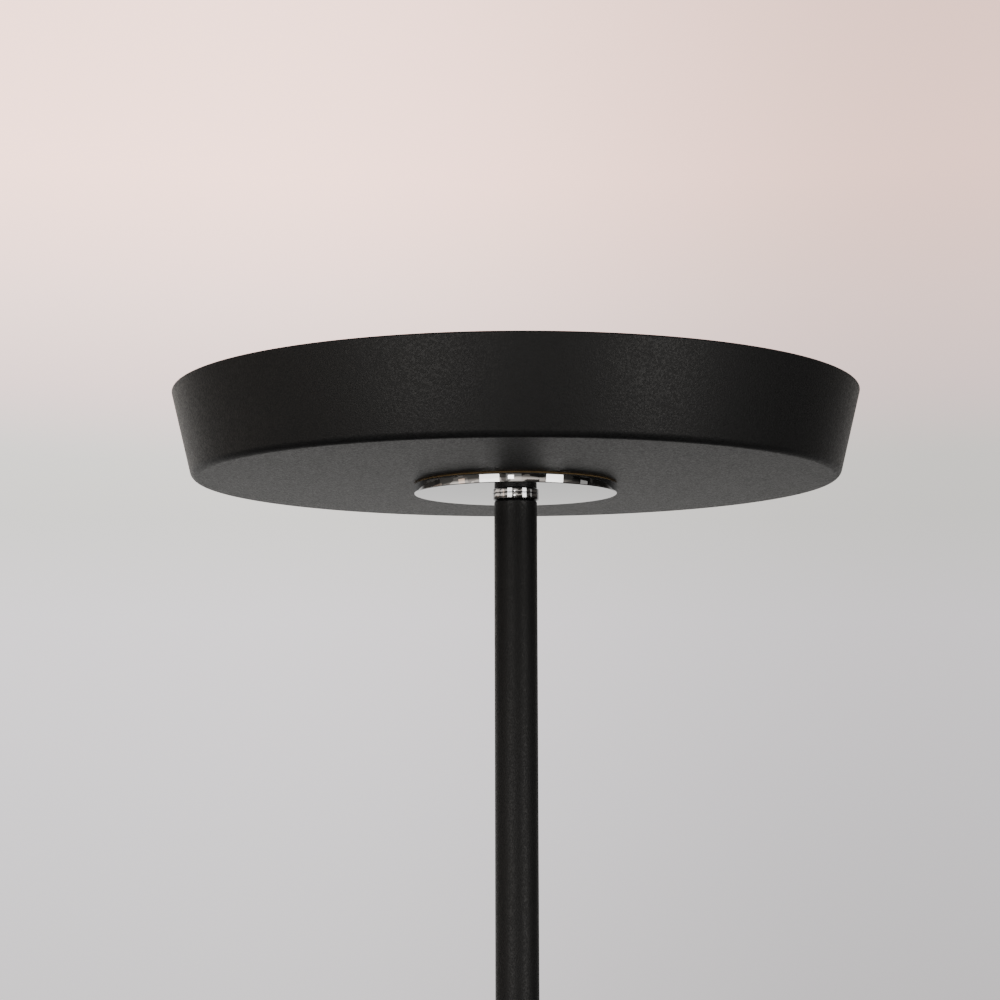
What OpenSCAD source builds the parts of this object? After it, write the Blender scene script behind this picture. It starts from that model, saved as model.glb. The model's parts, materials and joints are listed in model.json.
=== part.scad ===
// Torchiere floor lamp: a shallow tapered LED head on a screwed tube pole, a
// rotary dimmer in the pole and a weighted round base that holds the LED driver.
// Millimetres. +Z is up, the floor is z = 0 and the pole's axis is x = y = 0.
// The dimmer's knob faces -Y and the flex enters the base at +Y.

/* [Overall] */
// Height from the floor to the rim of the head
lamp_h = 1800; // [1450:10:2200]
// Outer diameter of the pole's tube
pole_d = 16; // [13.3:0.1:22]
// Wall of the pole's tube
pole_wall = 1; // [0.8:0.05:1.3]
// Length of the lower pole section
lower_length = 560; // [400:5:680]
// Length of the middle pole section
middle_length = 560; // [400:5:680]

/* [Head] */
// Diameter of the head at its rim
head_d = 254; // [210:1:320]
// How much narrower the head's floor is than its rim, before the rounded edge
head_narrowing = 15.5; // [4:0.5:24]
// Height of the head
head_h = 31.8; // [26:0.1:45]
// Radius of the rounded edge between the head's floor and wall
head_edge_r = 3; // [2:0.5:8]
// Sheet thickness of the head
head_sheet = 1.2; // [0.8:0.1:2]
// Diameter of the polished disc under the head
disc_d = 76; // [60:1:110]
// Thickness of the polished disc
disc_t = 4; // [2.5:0.25:6]
// Height of the polished collar rings
collar_h = 2.7; // [2:0.1:5]
// How much wider than the pole a collar ring is
collar_step = 1.5; // [0.5:0.1:4]

/* [Light engine] */
// How far the diffuser lies below the rim
diffuser_recess = 6.5; // [5:0.5:9]
// Thickness of the diffuser
diffuser_t = 3; // [2:0.25:4]
// Thickness of the aluminium heat plate
heat_plate_t = 2; // [1.5:0.25:3]
// Gap between the LED board's edge and the head's rounded edge
board_inset = 15; // [10:0.5:30]
// Thickness of the LED board
led_board_t = 1.6; // [1:0.1:2]
// Wall of the reflector ring
reflector_t = 0.8; // [0.6:0.1:1.2]

/* [Base] */
// Diameter of the base at its foot
base_d = 254; // [240:1:320]
// Height of the pressed cover, without the feet
base_cover_h = 25; // [23.5:0.5:32]
// How much narrower the base's top is than its foot, before the rounded edge
base_narrowing = 11; // [4:1:24]
// Sheet thickness of the cover
base_sheet = 1.2; // [0.8:0.1:1.6]
// Height of the rubber feet
foot_h = 3; // [2.5:0.25:5]
// Diameter of the rubber feet
foot_d = 20; // [12:1:26]
// Thickness of the iron weight's rim
weight_t = 16; // [13:0.5:20]
// Bore of the flex gland
gland_bore_d = 7.4; // [6:0.1:9]

/* [Dimmer] */
// Diameter of the dimmer's barrel
barrel_d = 27; // [25:0.5:33]
// Height of the dimmer's barrel
barrel_h = 66; // [60:1:84]
// Diameter of the knob
knob_d = 22; // [18.5:0.5:28]
// Length of the knob along its axis
knob_l = 14; // [11.5:0.5:20]
// Diameter of the potentiometer's shaft
shaft_d = 6; // [5:0.1:7.5]

/* [Hidden] */
$fn = 96;

// Clearances
thread_gap = 0.1;   // radial, between a thread and the hole it passes or screws into
press_gap = 0.05;   // radial, between pieces that are pressed or glued together
slip_gap = 0.5;     // radial, between loose pieces that only locate each other
running_gap = 0.05; // radial, between the shaft and its bushing

// M10 lamp thread and the pieces on it
nipple_d = 10;
nipple_bore_d = 7;
nipple_length = 24;
insert_length = 18;
nut_flats = 17;
nut_h = 5;
washer_t = 1.5;
washer_d = 28;
lock_washer_t = 1.8;
lock_washer_d = 18;
through_hole_d = nipple_d + 4 * thread_gap;
tooth_washer_t = 1;
nipple_reach = 14;  // how far a nipple enters a pole section
screw_d = 3;        // the small screws
screw_head_d = 5.6;
screw_head_h = 1.8;

// Sheet trays: the head, and the base's cover upside down
function arc(c, r, from, to, steps = 10) =
    [for (i = [0:steps]) let (a = from + (to - from) * i / steps) c + r * [cos(a), sin(a)]];
function lean(narrowing, h) = atan(narrowing / 2 / h);
// Distance of a tray's outer wall line from the origin, along the wall's normal
function wall_offset(d, h, a, t) = (d / 2 - t / 2) * cos(a) - (h - t / 2) * sin(a) + t / 2;
// Radius at height z of a line parallel to the wall, depth inside it
function wall_r(d, h, a, t, z, depth = 0) = (wall_offset(d, h, a, t) - depth + z * sin(a)) / cos(a);
function edge_centre(d, h, a, t, edge_r) =
    [(wall_offset(d, h, a, t) - edge_r + edge_r * sin(a)) / cos(a), edge_r];
function tray_outline(d, h, a, t, edge_r, hole_r) = concat(
    [[hole_r, 0]],
    arc(edge_centre(d, h, a, t, edge_r), edge_r, -90, -a),
    arc([d / 2 - t / 2, h - t / 2], t / 2, -a, 180 - a),
    arc(edge_centre(d, h, a, t, edge_r), edge_r - t, -a, -90),
    [[hole_r, t]]
);

// Head: heights count up from the outside of its floor
head_z = lamp_h - head_h;
head_lean = lean(head_narrowing, head_h);
function head_inner_r(z) = wall_r(head_d, head_h, head_lean, head_sheet, z, head_sheet);
head_floor_r = edge_centre(head_d, head_h, head_lean, head_sheet, head_edge_r)[0];
diffuser_top = head_h - diffuser_recess;
diffuser_bottom = diffuser_top - diffuser_t;
diffuser_gap = 0.3;
function diffuser_r(z) = head_inner_r(z) - diffuser_gap; // its edge leans as the wall does
snap_wire_d = 2;
snap_ring_z = diffuser_top + snap_wire_d / 2;
snap_ring_r = head_inner_r(snap_ring_z) - (snap_wire_d / 2) / cos(head_lean) - press_gap;
snap_ring_gap = 8; // opening in degrees
heat_plate_top = head_sheet + heat_plate_t;
head_nut_z = head_z + heat_plate_top + washer_t + tooth_washer_t;
head_nipple_top = head_nut_z + nut_h + 1;
led_board_r = head_floor_r - board_inset;
heat_plate_r = led_board_r + 4;
led_board_top = heat_plate_top + led_board_t;
led_board_hole_d = 46;
led_size = [2.8, 3.5, 0.8];
led_rings = [[0.50, 16], [0.725, 24], [0.95, 32]]; // share of the board's radius, count
board_screw_r = led_board_r * 0.6125;
reflector_foot_r = led_board_r + slip_gap;
reflector_foot_w = 2;
reflector_lip = 5;
connector_size = [10, 6, 4.5];
connector_y = -(led_board_hole_d / 2 + 2.5 + connector_size[1] / 2);

// Pole: its ends are fixed by the base's top and by the head's collar
base_top = foot_h + base_cover_h;
pole_foot = base_top + collar_h;
pole_head = head_z - disc_t - collar_h;
joint_z = pole_foot + lower_length;
barrel_foot = joint_z + middle_length;
barrel_top = barrel_foot + barrel_h;
pole_bore_d = pole_d - 2 * pole_wall;
seam_chamfer = 0.4;
collar_d = pole_d + collar_step;

// Base
base_lean = lean(base_narrowing, base_cover_h);
base_edge_r = head_edge_r;
// Depth below the base's top of a height z
function base_down(z) = base_top - z;
function base_inner_r(z) =
    wall_r(base_d, base_cover_h, base_lean, base_sheet, base_down(z), base_sheet);
plate_t = 1.2;
plate_top = foot_h + plate_t;
weight_gap = 0.4;
weight_foot = plate_top + weight_gap;
weight_top = weight_foot + weight_t;
weight_r = base_inner_r(weight_top) - 2;
weight_boss_d = 60;
weight_boss_top = base_top - base_sheet;
nut_seat_z = weight_boss_top - 4;
nut_pocket_d = 36;
base_nipple_foot = nut_seat_z - washer_t - lock_washer_t - nut_h - 0.4;
lead_channel_w = 12;
foot_circle_r = base_d / 2 - foot_d / 2 - 12;
foot_count = 6;
plate_screw_r = weight_r - 14;
plate_screw_d = 4;
gland_z = foot_h + 12;
gland_d = gland_bore_d + 3.4;
gland_flange_d = gland_d + 4.4;
gland_flange_t = 1.2;
gland_nose = base_d / 2 - gland_flange_t
    - wall_r(base_d, base_cover_h, base_lean, base_sheet, base_down(gland_z));
gland_inside = 9;
notch_w = 46;
notch_y = weight_r - 56;
terminal_size = [23, 17, 12];
terminal_y = notch_y + 16 + terminal_size[1] / 2;
terminal_x = 5.5;
driver_size = [40, 100, 15];
driver_flange = 7;
driver_flange_t = 2.5;
driver_pocket = driver_size + [6, 2 * driver_flange + 6, 0];
driver_x = -(weight_boss_d / 2 + 11 + driver_pocket[0] / 2);
driver_entry_x = driver_x + 12;
driver_screw_y = (driver_size[1] + driver_flange) / 2;

// Dimmer: depths count back from the pole's axis, so the front is at -y
dimmer_z = barrel_foot + barrel_h / 2;
barrel_wall = 2;
barrel_cap = 9;
cover_lap = 2;      // how far the cover laps over each cap
cover_gap = 0.15;   // between the cover and the body round its edge
cavity_r = barrel_d / 2 - barrel_wall;
split_y = -3;
seat_d = 20;
seat_y = -(barrel_d / 2 + 1);
pot_d = 16.5;
pot_l = 7;
pot_back_y = 0.5;
bushing_d = shaft_d + 2;
pot_washer_t = 0.6;
pot_nut_t = 2;
pot_nut_flats = bushing_d + 3;
bushing_end_y = seat_y - pot_washer_t - pot_nut_t - 0.5;
knob_back_y = seat_y - 0.5;
knob_front_y = knob_back_y - knob_l;
knob_hollow_d = pot_nut_flats / cos(30) + 1;
knob_hollow_l = abs(bushing_end_y - knob_back_y) + 0.7;
knob_flutes = 24;
cap_d = knob_d - 6;
cap_t = 1.2;
shaft_end_y = knob_front_y + cap_t + 1.2;
shaft_flat = shaft_d * 0.25; // depth of the shaft's flat below its axis
grub_y = knob_front_y + cap_t + 4.2;
grub_sink = 1.4;    // how far the grub screw lies below the knob's rim
dimmer_board_size = [17, 1.6, barrel_h - 2 * barrel_cap - 18];
dimmer_board_y = 2.4;
dimmer_screw_x = 7.5;
dimmer_screw_z = barrel_h / 2 - barrel_cap - 5;
dimmer_screw_d = 3;

// Leads
lead_d = 4.4;
lamp_lead_d = 3.1;
core_d = 2;
lead_z = plate_top + 3;
lead_bend_r = 6;
input_z = plate_top + terminal_size[2] / 2;
lane_y = notch_y + 6;

function unit(v) = v / norm(v);
// A tube's rings: each ring stands square to the route, turned from a fixed side direction
function ring_at(p, t, side, r, n) = let (u = unit(cross(t, side)), w = cross(t, u))
    [for (i = [0:n - 1]) p + r * (cos(360 * i / n) * u + sin(360 * i / n) * w)];
function tangent(pts, i) = unit(pts[min(i + 1, len(pts) - 1)] - pts[max(i - 1, 0)]);

module swept_tube(pts, d, side, n = 10) {
    rings = len(pts);
    points = [for (i = [0:rings - 1]) each ring_at(pts[i], tangent(pts, i), side, d / 2, n)];
    walls = [for (i = [0:rings - 2], k = [0:n - 1]) let (j = (k + 1) % n)
        each [[i * n + k, (i + 1) * n + k, i * n + j], [i * n + j, (i + 1) * n + k, (i + 1) * n + j]]];
    polyhedron(points, concat(walls, [[for (k = [0:n - 1]) k]],
        [[for (k = [n - 1:-1:0]) (rings - 1) * n + k]]));
}

module at_angles(count, r, first = 0) {
    for (i = [0:count - 1]) rotate(first + i * 360 / count) translate([r, 0, 0]) children();
}

module ring(outer_d, inner_d, h) {
    difference() {
        cylinder(d = outer_d, h = h);
        translate([0, 0, -1]) cylinder(d = inner_d, h = h + 2);
    }
}

// Pan-head screw pointing down, its head standing on z = 0
module pan_screw(d, length, head_d, head_h) {
    translate([0, 0, -length]) cylinder(d = d, h = length, $fn = 32);
    difference() {
        cylinder(d1 = head_d, d2 = head_d * 0.85, h = head_h, $fn = 48);
        for (a = [0, 90]) rotate(a)
            translate([-head_d * 0.3, -0.35, head_h * 0.45]) cube([head_d * 0.6, 0.7, head_h]);
    }
}

module hex_nut(flats, h, hole_d) {
    difference() {
        intersection() {
            cylinder(d = flats / cos(30), h = h, $fn = 6);
            cylinder(d1 = flats * 1.06, d2 = flats * 1.06 + 2 * h, h = h);
            cylinder(d1 = flats * 1.06 + 2 * h, d2 = flats * 1.06, h = h);
        }
        translate([0, 0, -1]) cylinder(d = hole_d, h = h + 2);
    }
}

module split_washer(outer_d, inner_d, t) {
    difference() {
        ring(outer_d, inner_d, t);
        rotate(20) translate([0, -0.6, -1]) cube([outer_d, 1.2, t + 2]);
    }
}

module toothed_washer(outer_d, inner_d, t, teeth = 12) {
    difference() {
        ring(outer_d, inner_d, t);
        at_angles(teeth, outer_d / 2) translate([-2.2, -0.8, -1]) cube([4, 1.6, t + 2]);
    }
}

// ---------- Base ----------

module base_feet() {
    color("#1b1b1c") at_angles(foot_count, foot_circle_r)
        cylinder(d1 = foot_d - 1, d2 = foot_d, h = foot_h);
}

module bottom_plate() {
    color("#8f9294") translate([0, 0, foot_h]) difference() {
        cylinder(r = base_inner_r(plate_top) - slip_gap, h = plate_t, $fn = 180);
        at_angles(4, plate_screw_r, 45) translate([0, 0, -1])
            cylinder(d = plate_screw_d + 2 * slip_gap, h = plate_t + 2, $fn = 32);
        for (s = [-1, 1]) translate([driver_x, s * driver_screw_y, -1])
            cylinder(d = screw_d + 2 * thread_gap, h = plate_t + 2, $fn = 32);
    }
}

module plate_screws() {
    color("#b9bcbe") at_angles(4, plate_screw_r, 45) translate([0, 0, foot_h])
        mirror([0, 0, 1]) pan_screw(plate_screw_d, 10, 8, 2);
}

module base_weight() {
    color("#3a3a3c") difference() {
        union() {
            translate([0, 0, weight_foot]) cylinder(r = weight_r, h = weight_t, $fn = 180);
            translate([0, 0, weight_foot])
                cylinder(d = weight_boss_d, h = weight_boss_top - weight_foot);
        }
        translate([0, 0, weight_foot - 1]) cylinder(d = through_hole_d, h = base_top);
        translate([0, 0, weight_foot - 1])
            cylinder(d = nut_pocket_d, h = nut_seat_z - weight_foot + 1);
        at_angles(4, plate_screw_r, 45) translate([0, 0, weight_foot - 1])
            cylinder(d = plate_screw_d + 2 * thread_gap, h = 12, $fn = 32);
        // notch for the gland and the terminals
        translate([-notch_w / 2, notch_y, weight_foot - 1]) cube([notch_w, weight_r, weight_t + 2]);
        // window for the driver
        translate([driver_x - driver_pocket[0] / 2, -driver_pocket[1] / 2, weight_foot - 1])
            cube([driver_pocket[0], driver_pocket[1], weight_t + 2]);
        // channel for the supply lead, from the driver to the nut
        translate([driver_x, -lead_channel_w / 2, weight_foot - 1])
            cube([-driver_x, lead_channel_w, 9]);
        // channels for the input wires, from the terminals to the driver
        translate([driver_entry_x, lane_y - lead_channel_w / 2, weight_foot - 1])
            cube([-driver_entry_x, lead_channel_w, 12]);
        translate([driver_entry_x - lead_channel_w / 2, 0, weight_foot - 1])
            cube([lead_channel_w, lane_y + lead_channel_w / 2, 12]);
    }
}

module base_cover() {
    color("#1d1d1f") difference() {
        translate([0, 0, base_top]) mirror([0, 0, 1]) rotate_extrude($fn = 180)
            polygon(tray_outline(base_d, base_cover_h, base_lean, base_sheet, base_edge_r,
                through_hole_d / 2));
        translate([0, base_d / 2 - 20, gland_z]) rotate([-90, 0, 0])
            cylinder(d = gland_d + 2 * thread_gap, h = 40, $fn = 48);
    }
}

// A layer of the base's wall between two depths inside its outer face
module base_wall_layer(outside, inside) {
    top = base_top - base_edge_r;
    function r(z, depth) = wall_r(base_d, base_cover_h, base_lean, base_sheet, base_down(z), depth);
    rotate_extrude($fn = 180) polygon([
        [r(foot_h, inside), foot_h], [r(foot_h, outside), foot_h],
        [r(top, outside), top], [r(top, inside), top]
    ]);
}

module flex_gland() {
    wall_face = wall_r(base_d, base_cover_h, base_lean, base_sheet, base_down(gland_z));
    inner_end = wall_face - base_sheet - gland_inside;
    color("#161617") difference() {
        union() {
            translate([0, inner_end, gland_z]) rotate([-90, 0, 0])
                cylinder(d = gland_d, h = wall_face + gland_flange_t + gland_nose - inner_end, $fn = 48);
            intersection() {
                base_wall_layer(-gland_flange_t, 0);
                translate([0, inner_end, gland_z]) rotate([-90, 0, 0])
                    cylinder(d = gland_flange_d, h = 40, $fn = 48);
            }
            intersection() {
                base_wall_layer(base_sheet, base_sheet + 2);
                translate([0, inner_end, gland_z]) rotate([-90, 0, 0])
                    cylinder(d = gland_d + 2, h = 40, $fn = 48);
            }
        }
        translate([0, inner_end - 1, gland_z]) rotate([-90, 0, 0])
            cylinder(d = gland_bore_d, h = 60, $fn = 48);
    }
}

module terminal_block() {
    color("#efeee9") translate([0, terminal_y, plate_top]) difference() {
        translate([-terminal_size[0] / 2, -terminal_size[1] / 2, 0]) cube(terminal_size);
        for (s = [-1, 1]) {
            translate([s * terminal_x, -terminal_size[1], terminal_size[2] / 2]) rotate([-90, 0, 0])
                cylinder(d = 3.6, h = 2 * terminal_size[1], $fn = 32);
            for (t = [-1, 1]) translate([s * terminal_x, t * 4.5, terminal_size[2] / 2])
                cylinder(d = 4.2, h = terminal_size[2], $fn = 32);
        }
    }
}

module terminal_screws() {
    color("#c9b26a") for (s = [-1, 1], t = [-1, 1])
        translate([s * terminal_x, terminal_y + t * 4.5, plate_top + terminal_size[2] - 1.6])
            pan_screw(2.4, 1.4, 3.6, 1.4);
}

module led_driver() {
    color("#f1f1ee") translate([driver_x, 0, plate_top]) difference() {
        union() {
            translate([-driver_size[0] / 2, -driver_size[1] / 2, 0]) cube(driver_size);
            translate([-8, -driver_size[1] / 2 - driver_flange, 0])
                cube([16, driver_size[1] + 2 * driver_flange, driver_flange_t]);
        }
        for (s = [-1, 1]) translate([0, s * driver_screw_y, -1])
            cylinder(d = screw_d + 2 * thread_gap, h = driver_flange_t + 2, $fn = 32);
        // cable entries: input at the end, output at the side
        for (s = [-1, 1]) translate([driver_entry_x - driver_x + s * 2.4, driver_size[1] / 2 - 4,
            input_z - plate_top]) rotate([-90, 0, 0]) cylinder(d = core_d + 2 * thread_gap, h = 6, $fn = 24);
        translate([driver_size[0] / 2 - 4, 0, lead_z - plate_top]) rotate([0, 90, 0])
            cylinder(d = lead_d + 2 * thread_gap, h = 6, $fn = 32);
    }
}

module driver_screws() {
    color("#b9bcbe") for (s = [-1, 1])
        translate([driver_x, s * driver_screw_y, plate_top + driver_flange_t])
            pan_screw(screw_d, driver_flange_t + plate_t, screw_head_d, screw_head_h);
}

// Two cores from the terminals, round two bends and into the driver's end
module input_wires() {
    r = 4;
    color("#2b4f86") for (s = [-1, 1]) {
        tail_x = s * terminal_x;
        entry_x = driver_entry_x + s * 2.4;
        y = lane_y - s * 1.8;
        swept_tube(concat(
            [[tail_x, terminal_y - 4, input_z], [tail_x, terminal_y - terminal_size[1] / 2 - 1, input_z]],
            [for (a = [0:30:90]) [tail_x - r + r * cos(a), y + r - r * sin(a), input_z]],
            [for (a = [0:30:90]) [entry_x + r - r * sin(a), y - r + r * cos(a), input_z]],
            [[entry_x, driver_size[1] / 2 - 3, input_z]]
        ), core_d, [0, 0, 1], 8);
    }
}

module base_washer() {
    color("#b9bcbe") translate([0, 0, nut_seat_z - washer_t])
        ring(washer_d, nipple_d + 2 * thread_gap, washer_t);
}

module base_lock_washer() {
    color("#a9acae") translate([0, 0, nut_seat_z - washer_t - lock_washer_t])
        split_washer(lock_washer_d, nipple_d + 2 * thread_gap, lock_washer_t);
}

module base_nut() {
    color("#c6b98a") translate([0, 0, nut_seat_z - washer_t - lock_washer_t - nut_h])
        hex_nut(nut_flats, nut_h, nipple_d + 2 * thread_gap);
}

// Threaded tube on the pole's axis between two heights
module nipple_between(from, to) {
    color("#c6b98a") translate([0, 0, from]) difference() {
        cylinder(d = nipple_d, h = to - from);
        translate([0, 0, -1]) cylinder(d = nipple_bore_d, h = to - from + 2);
    }
}

// Threaded plug pressed into a tube's end, its foot at height z
module pole_insert(z) {
    color("#a9acae") translate([0, 0, z])
        ring(pole_bore_d - 2 * press_gap, nipple_d + 2 * thread_gap, insert_length);
}

module base_nipple() { nipple_between(base_nipple_foot, pole_foot + nipple_reach); }

// Polished ring round the pole's end, its chamfer towards the pole
module collar_ring() {
    chamfer = 0.6;
    r = collar_d / 2;
    color("#d9dadb") rotate_extrude($fn = 120) polygon([
        [through_hole_d / 2, 0], [r - chamfer, 0], [r, chamfer],
        [r, collar_h - 0.2], [r - 0.2, collar_h], [through_hole_d / 2, collar_h]
    ]);
}

module base_collar() {
    translate([0, 0, pole_foot]) mirror([0, 0, 1]) collar_ring();
}

// ---------- Pole ----------

module foot_insert() { pole_insert(pole_foot); }
module joint_lower_insert() { pole_insert(joint_z - insert_length); }
module joint_upper_insert() { pole_insert(joint_z); }
module dimmer_lower_insert() { pole_insert(barrel_foot - insert_length); }
module dimmer_upper_insert() { pole_insert(barrel_top); }
module head_insert() { pole_insert(pole_head - insert_length); }

module joint_nipple() { nipple_between(joint_z - nipple_length / 2, joint_z + nipple_length / 2); }
module dimmer_lower_nipple() {
    nipple_between(barrel_foot - nipple_reach, barrel_foot + barrel_cap - cover_lap - slip_gap);
}
module dimmer_upper_nipple() {
    nipple_between(barrel_top - barrel_cap + cover_lap + slip_gap, barrel_top + nipple_reach);
}

module pole_tube(from, to) {
    r = pole_d / 2;
    color("#1d1d1f") rotate_extrude($fn = 120) polygon([
        [pole_bore_d / 2, from], [r - seam_chamfer, from], [r, from + seam_chamfer],
        [r, to - seam_chamfer], [r - seam_chamfer, to], [pole_bore_d / 2, to]
    ]);
}

module pole_lower() { pole_tube(pole_foot, joint_z); }
module pole_middle() { pole_tube(joint_z, barrel_foot); }
module pole_upper() { pole_tube(barrel_top, pole_head); }

// ---------- Dimmer ----------

module barrel_blank() {
    chamfer = 1.5;
    r = barrel_d / 2;
    rotate_extrude($fn = 120) polygon([
        [0, barrel_foot], [r - chamfer, barrel_foot], [r, barrel_foot + chamfer],
        [r, barrel_top - chamfer], [r - chamfer, barrel_top], [0, barrel_top]
    ]);
}

module barrel_cavity() {
    translate([0, 0, barrel_foot + barrel_cap])
        cylinder(r = cavity_r, h = barrel_h - 2 * barrel_cap);
}

// Where the dimmer's two screws lie, seen from behind
module at_dimmer_screws() {
    for (s = [-1, 1]) translate([s * dimmer_screw_x, 0, dimmer_z + s * dimmer_screw_z]) children();
}

// The space in front of the split that the cover fills
module front_window(gap = 0) {
    translate([-barrel_d, -barrel_d, barrel_foot + barrel_cap - cover_lap + gap])
        cube([2 * barrel_d, barrel_d + split_y - gap, barrel_h - 2 * (barrel_cap - cover_lap + gap)]);
}

dimmer_screw_seat = sqrt(pow(barrel_d / 2, 2) - pow(dimmer_screw_x, 2)) - 2.2;

module dimmer_body() {
    color("#1d1d1f") difference() {
        union() {
            difference() {
                barrel_blank();
                barrel_cavity();
                front_window();
            }
            intersection() {
                barrel_blank();
                at_dimmer_screws() translate([0, 5, 0]) rotate([-90, 0, 0])
                    cylinder(d = 7, h = barrel_d, $fn = 48);
            }
        }
        translate([0, 0, barrel_foot - 1]) cylinder(d = nipple_d + 2 * thread_gap, h = barrel_h + 2);
        at_dimmer_screws() rotate([-90, 0, 0])
            cylinder(d = dimmer_screw_d + 2 * thread_gap, h = barrel_d, $fn = 32);
        at_dimmer_screws() translate([0, dimmer_screw_seat, 0]) rotate([-90, 0, 0])
            cylinder(d = 5.8, h = barrel_d, $fn = 32);
    }
}

module dimmer_cover() {
    color("#1d1d1f") difference() {
        union() {
            intersection() {
                difference() {
                    barrel_blank();
                    barrel_cavity();
                }
                front_window(cover_gap);
            }
            // round seat for the knob
            intersection() {
                translate([0, seat_y, dimmer_z]) rotate([-90, 0, 0]) cylinder(d = seat_d, h = barrel_d);
                difference() {
                    front_window(cover_gap);
                    translate([0, 0, barrel_foot]) cylinder(r = cavity_r, h = barrel_h);
                }
            }
            // posts for the screws
            at_dimmer_screws() translate([0, -cavity_r + 3, 0]) rotate([-90, 0, 0])
                cylinder(d = 5.6, h = cavity_r - 3 + 4.5, $fn = 48);
        }
        translate([0, -barrel_d, dimmer_z]) rotate([-90, 0, 0])
            cylinder(d = bushing_d + 2 * thread_gap, h = barrel_d, $fn = 48);
        at_dimmer_screws() translate([0, -cavity_r + 5, 0]) rotate([-90, 0, 0])
            cylinder(d = dimmer_screw_d + 2 * thread_gap, h = barrel_d, $fn = 32);
    }
}

module dimmer_screws() {
    color("#b9bcbe") at_dimmer_screws() translate([0, dimmer_screw_seat, 0])
        rotate([-90, 0, 0]) pan_screw(dimmer_screw_d, dimmer_screw_seat + cavity_r - 6.5, 5.4, 1.9);
}

module dimmer_board() {
    color("#2f6b45") difference() {
        translate([-dimmer_board_size[0] / 2, dimmer_board_y, dimmer_z - dimmer_board_size[2] / 2])
            cube(dimmer_board_size);
        for (x = [-5, 0, 5]) translate([x, 0, dimmer_z - 6.5]) rotate([-90, 0, 0])
            cylinder(d = 1.6, h = 10, $fn = 24);
    }
}

module dimmer_board_parts() {
    back = dimmer_board_y + dimmer_board_size[1];
    color("#3c3c40") translate([-4, back, dimmer_z - 4]) cube([8, 2.4, 9]);
    color("#2a3f7a") translate([0, back, dimmer_z + 9]) rotate([-90, 0, 0]) cylinder(d = 6, h = 4.5, $fn = 48);
    color("#efeee9") translate([-3.5, back, dimmer_z - 14]) cube([7, 4, 6]);
}

module potentiometer() {
    front = pot_back_y - pot_l;
    color("#8b7a3e") difference() {
        union() {
            translate([0, front, dimmer_z]) rotate([-90, 0, 0]) cylinder(d = pot_d, h = pot_l);
            translate([0, bushing_end_y, dimmer_z]) rotate([-90, 0, 0])
                cylinder(d = bushing_d, h = front - bushing_end_y + 1, $fn = 48);
            for (x = [-5, 0, 5]) translate([x - 0.5, pot_back_y - 1, dimmer_z - 7])
                cube([1, dimmer_board_y + dimmer_board_size[1] - pot_back_y + 0.6, 1]);
        }
        translate([0, bushing_end_y - 1, dimmer_z]) rotate([-90, 0, 0])
            cylinder(d = shaft_d + 2 * running_gap, h = abs(bushing_end_y) - 0.5, $fn = 48);
    }
}

module pot_washer() {
    color("#c3c5c7") translate([0, seat_y, dimmer_z]) rotate([90, 0, 0])
        ring(bushing_d + 4, bushing_d + 2 * thread_gap, pot_washer_t);
}

module pot_nut() {
    color("#c3c5c7") translate([0, seat_y - pot_washer_t, dimmer_z]) rotate([90, 0, 0])
        hex_nut(pot_nut_flats, pot_nut_t, bushing_d + 2 * thread_gap);
}

module pot_shaft() {
    flat_l = 7;
    color("#c3c5c7") difference() {
        translate([0, shaft_end_y, dimmer_z]) rotate([-90, 0, 0])
            cylinder(d = shaft_d, h = -2 - shaft_end_y, $fn = 48);
        translate([-shaft_d, shaft_end_y - 1, dimmer_z - shaft_d])
            cube([2 * shaft_d, flat_l + 1, shaft_d - shaft_flat]);
    }
}

module turn_about_shaft(a) {
    translate([0, 0, dimmer_z]) rotate([0, a, 0]) translate([0, 0, -dimmer_z]) children();
}

// Knob along -y: the hollow at its back clears the nut, and its rim is fluted
module dimmer_knob() {
    r = knob_d / 2;
    rim = 1.2;
    flute_d = 1.6;
    color("#151516") difference() {
        translate([0, knob_back_y, dimmer_z]) rotate([90, 0, 0]) rotate_extrude() polygon([
            [shaft_d / 2 + press_gap, knob_hollow_l], [knob_hollow_d / 2, knob_hollow_l],
            [knob_hollow_d / 2, 0], [r, 0], [r, knob_l - rim], [r - rim, knob_l],
            [cap_d / 2 + press_gap, knob_l], [cap_d / 2 + press_gap, knob_l - cap_t],
            [shaft_d / 2 + press_gap, knob_l - cap_t]
        ]);
        for (i = [1:knob_flutes - 1]) turn_about_shaft(i * 360 / knob_flutes)
            translate([0, knob_front_y - 1, dimmer_z + r + flute_d * 0.18]) rotate([-90, 0, 0])
                cylinder(d = flute_d, h = knob_l - 1, $fn = 24);
        // hole for the grub screw, square to the shaft's flat
        translate([0, grub_y, dimmer_z - r - 1]) cylinder(d = 3 + 2 * thread_gap, h = r, $fn = 32);
    }
}

module knob_grub_screw() {
    length = knob_d / 2 - grub_sink - shaft_flat;
    color("#3b3b3d") translate([0, grub_y, dimmer_z - knob_d / 2 + grub_sink]) difference() {
        cylinder(d = 3, h = length, $fn = 32);
        translate([0, 0, -1]) cylinder(d = 1.7, h = 2.6, $fn = 6);
    }
}

module knob_cap() {
    color("#d9dadb") difference() {
        translate([0, knob_front_y + cap_t, dimmer_z]) rotate([90, 0, 0])
            cylinder(d = cap_d, h = cap_t);
        // pointer groove, upright when the light is at half strength
        translate([-0.5, knob_front_y - 1, dimmer_z + cap_d / 2 - 5]) cube([1, 1.4, 8]);
    }
}

// ---------- Head ----------

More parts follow.
